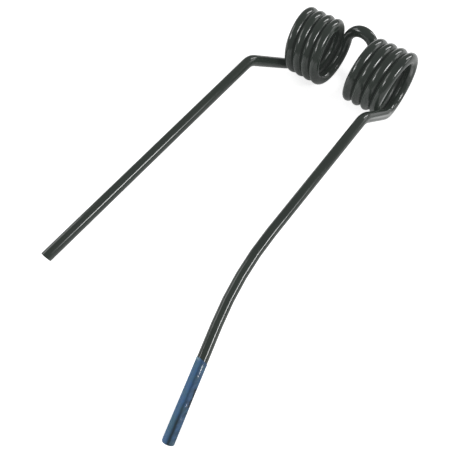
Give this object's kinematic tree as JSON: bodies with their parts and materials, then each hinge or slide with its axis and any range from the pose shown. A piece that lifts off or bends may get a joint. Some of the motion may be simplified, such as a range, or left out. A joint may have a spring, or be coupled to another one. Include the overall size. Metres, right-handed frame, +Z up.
{
  "type": "rake tine",
  "caption": "Sprung hay rake tine of round wire: close wound coils joined by a hairpin loop, with a short straight arm and a longer kneed arm whose tip is painted.",
  "frame": {"origin": "on the coil axis, midway between the two coils", "axes": "+X along the coil axis towards the long arm's coil, -Y towards the tips of the arms, +Z up, with the tine lying on a level surface"},
  "size_m": [0.1749, 0.3869, 0.0566],
  "materials": {
    "black_enamel": "gloss stoving enamel on spring steel",
    "blue_paint": "satin dip paint"
  },
  "bodies": {
    "root": {"spring_wire": "black_enamel", "tip_coat": "blue_paint"}
  },
  "joints": []
}
